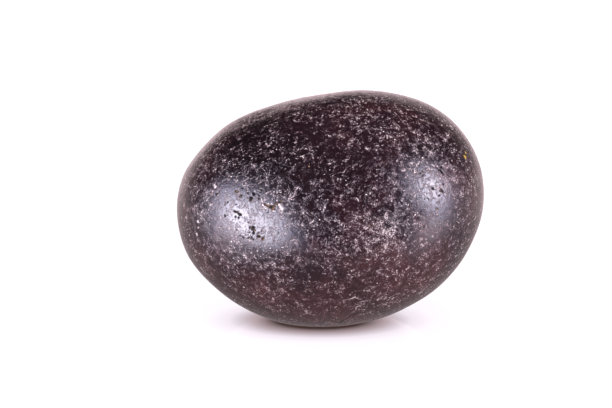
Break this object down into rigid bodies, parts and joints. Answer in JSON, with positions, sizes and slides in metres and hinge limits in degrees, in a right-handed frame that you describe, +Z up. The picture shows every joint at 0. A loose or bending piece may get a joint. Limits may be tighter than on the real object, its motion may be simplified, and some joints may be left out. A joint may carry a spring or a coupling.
{
  "type": "lignite pebble",
  "caption": "Tumbled egg-shaped lignite stone, dark purplish brown and semi-glossy, with fine scuffs and small pits, leaning up to one end on a small worn flat.",
  "frame": {"origin": "middle of the bounding box in X and Y, at the level of the flat that the stone rests on", "axes": "+X along the stone's length, towards the blunt raised end; +Z up; the pictured front faces -Y"},
  "size_m": [0.0306, 0.0244, 0.023],
  "materials": {
    "lignite": "tumble-polished, semi-gloss, with fine pale scuffs"
  },
  "bodies": {
    "root": {"lignite_pebble": "lignite"}
  },
  "joints": []
}
